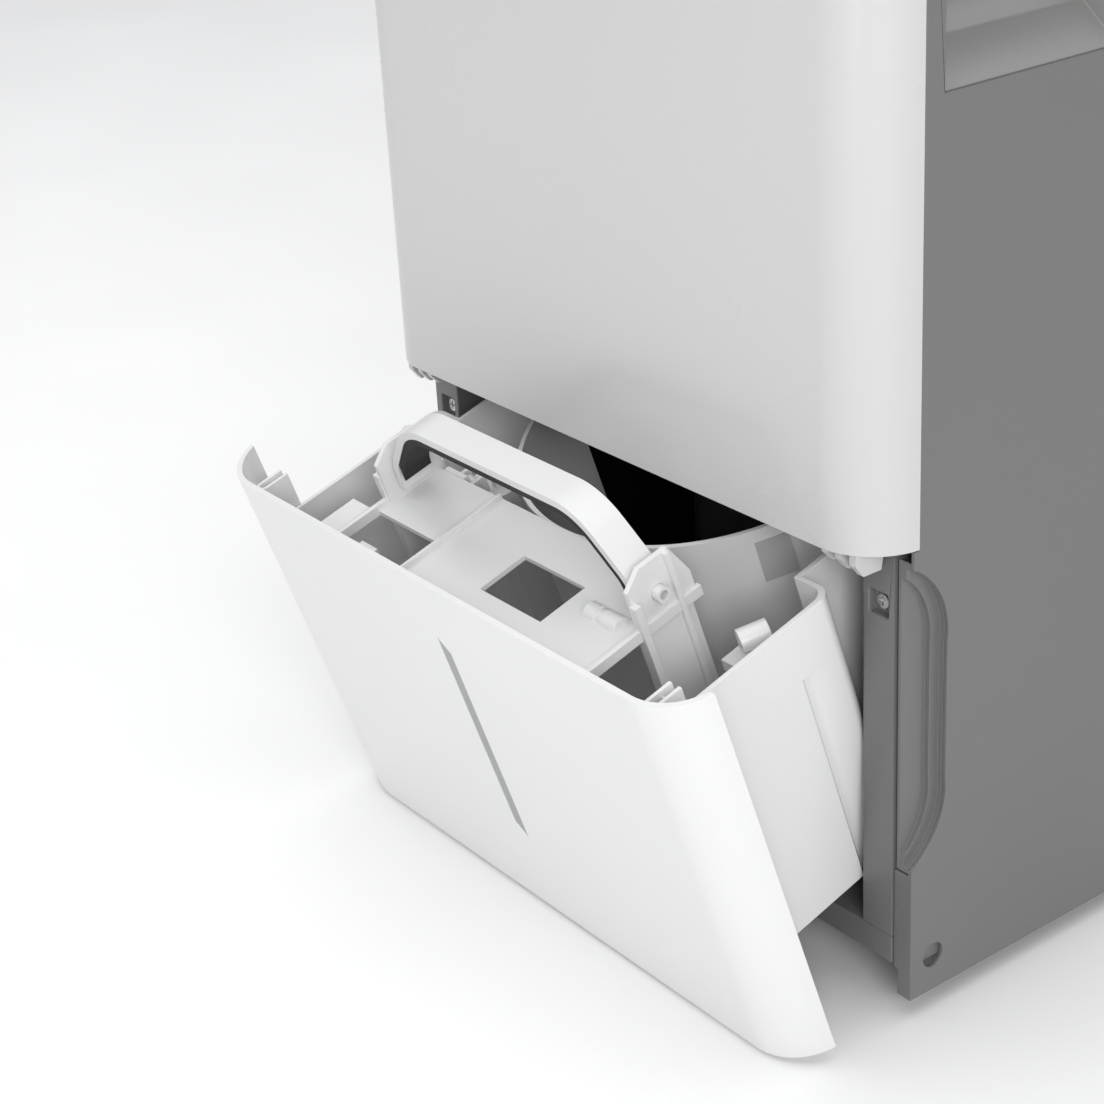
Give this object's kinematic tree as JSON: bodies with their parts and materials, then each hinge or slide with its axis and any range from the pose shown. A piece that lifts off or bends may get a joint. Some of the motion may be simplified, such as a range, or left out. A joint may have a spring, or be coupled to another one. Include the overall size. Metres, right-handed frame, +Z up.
{
  "type": "dehumidifier",
  "caption": "Free-standing dehumidifier on casters, with a water bucket that slides and tips out, a folding bucket handle, top outlet and rear filter.",
  "frame": {"origin": "middle of the base of the whole object's bounding box, on the floor, with the bucket drawn out", "axes": "+X to the object's right as seen from the front, +Y to the back, +Z up; the front panel faces -Y"},
  "size_m": [0.386, 0.395, 0.6175],
  "materials": {
    "white_panel": "moulded",
    "white_bucket": "moulded",
    "grey_case": "moulded",
    "grey_trim": "moulded",
    "black_liner": "moulded",
    "window": "moulded",
    "black_rubber": "plain",
    "tyre": "moulded",
    "steel": "plain",
    "compressor_paint": "plain",
    "aluminium_fins": "plain",
    "board_green": "moulded",
    "display": "moulded",
    "screen_mesh": "moulded"
  },
  "bodies": {
    "housing": {"accumulator": "compressor_paint", "base_pan": "grey_case", "bay_liner": "black_liner", "bucket_switch": "black_liner", "cabinet_back": "grey_case", "column_screws": "steel", "compressor": "compressor_paint", "compressor_feet": "black_rubber", "condenser": "aluminium_fins", "control_board": "board_green", "control_panel": "grey_trim", "cord_inlet": "black_rubber", "display_window": "display", "drain_port": "grey_trim", "drip_tray": "black_liner", "evaporator": "aluminium_fins", "fan_motor": "steel", "fan_scroll": "black_liner", "front_panel": "white_panel", "humidity_sensor": "black_liner", "left_column": "grey_case", "left_grip_pan": "grey_case", "left_handle_cup": "grey_case", "left_side": "grey_case", "outlet_grille": "grey_trim", "power_board": "board_green", "right_column": "grey_case", "right_grip_pan": "grey_case", "right_handle_cup": "grey_case", "right_side": "grey_case", "run_capacitor": "aluminium_fins", "top_cover": "white_panel"},
    "bucket": {"tub": "white_bucket", "bucket_fascia": "white_bucket", "level_window": "window", "bucket_cover": "white_bucket", "hose_clip": "white_bucket", "float_bracket": "white_bucket"},
    "handle": {"handle_bow": "white_bucket", "handle_grip": "black_rubber"},
    "float": {"level_float": "white_bucket"},
    "glides": {"bucket_glides": "black_liner"},
    "fan": {"blower_wheel": "black_liner"},
    "filter": {"filter_frame": "grey_trim", "filter_mesh": "screen_mesh"},
    "button_1": {"button_1": "grey_trim"},
    "button_2": {"button_2": "grey_trim"},
    "button_3": {"button_3": "grey_trim"},
    "button_4": {"button_4": "grey_trim"},
    "button_5": {"button_5": "grey_trim"},
    "caster_front_left": {"caster_fork_front_left": "tyre"},
    "wheel_front_left": {"caster_wheel_front_left": "tyre"},
    "caster_front_right": {"caster_fork_front_right": "tyre"},
    "wheel_front_right": {"caster_wheel_front_right": "tyre"},
    "caster_rear_left": {"caster_fork_rear_left": "tyre"},
    "wheel_rear_left": {"caster_wheel_rear_left": "tyre"},
    "caster_rear_right": {"caster_fork_rear_right": "tyre"},
    "wheel_rear_right": {"caster_wheel_rear_right": "tyre"}
  },
  "joints": [
    {"name": "bucket_slide", "type": "slide", "parent": "housing", "child": "glides", "axis": [0, 0.9897, -0.1433], "range_m": [0, 0.05861]},
    {"name": "bucket_tilt", "type": "hinge", "parent": "glides", "child": "bucket", "pos_m": [0, -0.07451, 0.0564], "axis": [1, 0, 0], "range_deg": [-17.55, 0]},
    {"name": "handle_fold", "type": "hinge", "parent": "bucket", "child": "handle", "pos_m": [0, -0.13345, 0.2297], "axis": [1, 0, 0], "range_deg": [0, 90.1]},
    {"name": "float_lift", "type": "hinge", "parent": "bucket", "child": "float", "pos_m": [-0.09, -0.09987, 0.21304], "axis": [1, 0, 0], "range_deg": [0, 10]},
    {"name": "fan_spin", "type": "hinge", "parent": "housing", "child": "fan", "pos_m": [0, 0.05749, 0.43], "axis": [0, 1, 0], "continuous": true},
    {"name": "filter_tip", "type": "hinge", "parent": "housing", "child": "filter", "pos_m": [0, 0.19349, 0.3055], "axis": [-1, 0, 0], "range_deg": [0, 30]},
    {"name": "button_1_press", "type": "slide", "parent": "housing", "child": "button_1", "axis": [0, 0, -1], "range_m": [0, 0.0012], "stiffness_N_per_m": 600},
    {"name": "button_2_press", "type": "slide", "parent": "housing", "child": "button_2", "axis": [0, 0, -1], "range_m": [0, 0.0012], "stiffness_N_per_m": 600},
    {"name": "button_3_press", "type": "slide", "parent": "housing", "child": "button_3", "axis": [0, 0, -1], "range_m": [0, 0.0012], "stiffness_N_per_m": 600},
    {"name": "button_4_press", "type": "slide", "parent": "housing", "child": "button_4", "axis": [0, 0, -1], "range_m": [0, 0.0012], "stiffness_N_per_m": 600},
    {"name": "button_5_press", "type": "slide", "parent": "housing", "child": "button_5", "axis": [0, 0, -1], "range_m": [0, 0.0012], "stiffness_N_per_m": 600},
    {"name": "caster_front_left_swivel", "type": "hinge", "parent": "housing", "child": "caster_front_left", "pos_m": [-0.15, -0.02651, 0.029], "axis": [0, 0, 1], "continuous": true},
    {"name": "wheel_front_left_spin", "type": "hinge", "parent": "caster_front_left", "child": "wheel_front_left", "pos_m": [-0.15, -0.02151, 0.0095], "axis": [1, 0, 0], "continuous": true},
    {"name": "caster_front_right_swivel", "type": "hinge", "parent": "housing", "child": "caster_front_right", "pos_m": [0.15, -0.02651, 0.029], "axis": [0, 0, 1], "continuous": true},
    {"name": "wheel_front_right_spin", "type": "hinge", "parent": "caster_front_right", "child": "wheel_front_right", "pos_m": [0.15, -0.02151, 0.0095], "axis": [1, 0, 0], "continuous": true},
    {"name": "caster_rear_left_swivel", "type": "hinge", "parent": "housing", "child": "caster_rear_left", "pos_m": [-0.15, 0.16149, 0.029], "axis": [0, 0, 1], "continuous": true},
    {"name": "wheel_rear_left_spin", "type": "hinge", "parent": "caster_rear_left", "child": "wheel_rear_left", "pos_m": [-0.15, 0.16649, 0.0095], "axis": [1, 0, 0], "continuous": true},
    {"name": "caster_rear_right_swivel", "type": "hinge", "parent": "housing", "child": "caster_rear_right", "pos_m": [0.15, 0.16149, 0.029], "axis": [0, 0, 1], "continuous": true},
    {"name": "wheel_rear_right_spin", "type": "hinge", "parent": "caster_rear_right", "child": "wheel_rear_right", "pos_m": [0.15, 0.16649, 0.0095], "axis": [1, 0, 0], "continuous": true}
  ],
  "couplings": [
    {"joint": "bucket_tilt", "follows": "bucket_slide", "rad_per_m": -5.2206},
    {"joint": "handle_fold", "follows": "bucket_slide", "rad_per_m": 26.803}
  ]
}
